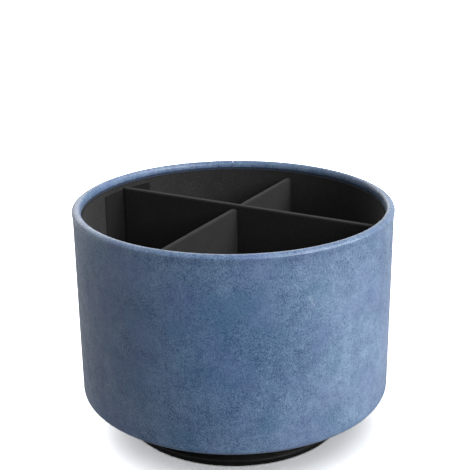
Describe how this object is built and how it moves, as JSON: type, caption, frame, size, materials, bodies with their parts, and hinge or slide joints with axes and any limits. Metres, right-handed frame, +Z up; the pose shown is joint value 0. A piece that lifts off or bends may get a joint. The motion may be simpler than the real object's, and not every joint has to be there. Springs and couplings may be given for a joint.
{
  "type": "rotating pen holder",
  "caption": "Round leather-covered drum with crossed dividers and open compartments for pens and desk tools, turning on a ball bearing over a low round black foot.",
  "frame": {"origin": "where the axis of rotation meets the surface that the rubber feet stand on", "axes": "+Z up along the axis of rotation; -Y is the side that the picture shows, with +X to its right; at rest the long divider runs 28.7 degrees clockwise from +X, seen from above"},
  "size_m": [0.175, 0.175, 0.1289],
  "materials": {
    "blue_leather": "matt mottled denim-blue imitation leather with a fine grain",
    "black_lining": "matt black brushed lining cloth",
    "divider_cloth": "matt black brushed lining cloth, paler at the folded top edges",
    "divider_board": "grey pressed board",
    "shell_board": "grey pressed board",
    "infill_card": "thin grey card",
    "floor_fibreboard": "medium density fibreboard",
    "underside_felt": "thin black pressed felt",
    "foot_plastic": "satin black moulded plastic",
    "housing_plastic": "satin black moulded plastic",
    "foot_rubber": "soft black rubber",
    "race_steel": "zinc-plated pressed steel",
    "ball_steel": "polished bearing steel",
    "bolt_steel": "zinc-plated steel",
    "screw_steel": "blackened steel",
    "bush_brass": "turned brass",
    "cage_plastic": "natural nylon"
  },
  "bodies": {
    "base": {"base_plate": "foot_plastic", "rubber_feet": "foot_rubber", "lower_race": "race_steel", "pivot_bolt": "bolt_steel", "bolt_washer": "bolt_steel", "lock_nut": "bolt_steel", "nut_cap": "foot_plastic"},
    "ball_cage": {"ball_cage": "cage_plastic", "bearing_balls": "ball_steel"},
    "drum": {"swivel_housing": "housing_plastic", "upper_race": "race_steel", "pivot_bush": "bush_brass", "housing_screws": "screw_steel", "underside_cover": "underside_felt", "floor_board": "floor_fibreboard", "drum_shell": "shell_board", "leather_wrap": "blue_leather", "infill_card": "infill_card", "wall_lining": "black_lining", "floor_lining": "black_lining", "main_divider_board": "divider_board", "main_divider_cover": "divider_cloth", "cross_divider_board": "divider_board", "cross_divider_cover": "divider_cloth"}
  },
  "joints": [
    {"name": "drum_spin", "type": "hinge", "parent": "base", "child": "drum", "pos_m": [0, 0, 0.01035], "axis": [0, 0, 1], "continuous": true},
    {"name": "cage_spin", "type": "hinge", "parent": "base", "child": "ball_cage", "pos_m": [0, 0, 0.01035], "axis": [0, 0, 1], "continuous": true}
  ],
  "couplings": [
    {"joint": "cage_spin", "follows": "drum_spin", "ratio": 0.5}
  ]
}
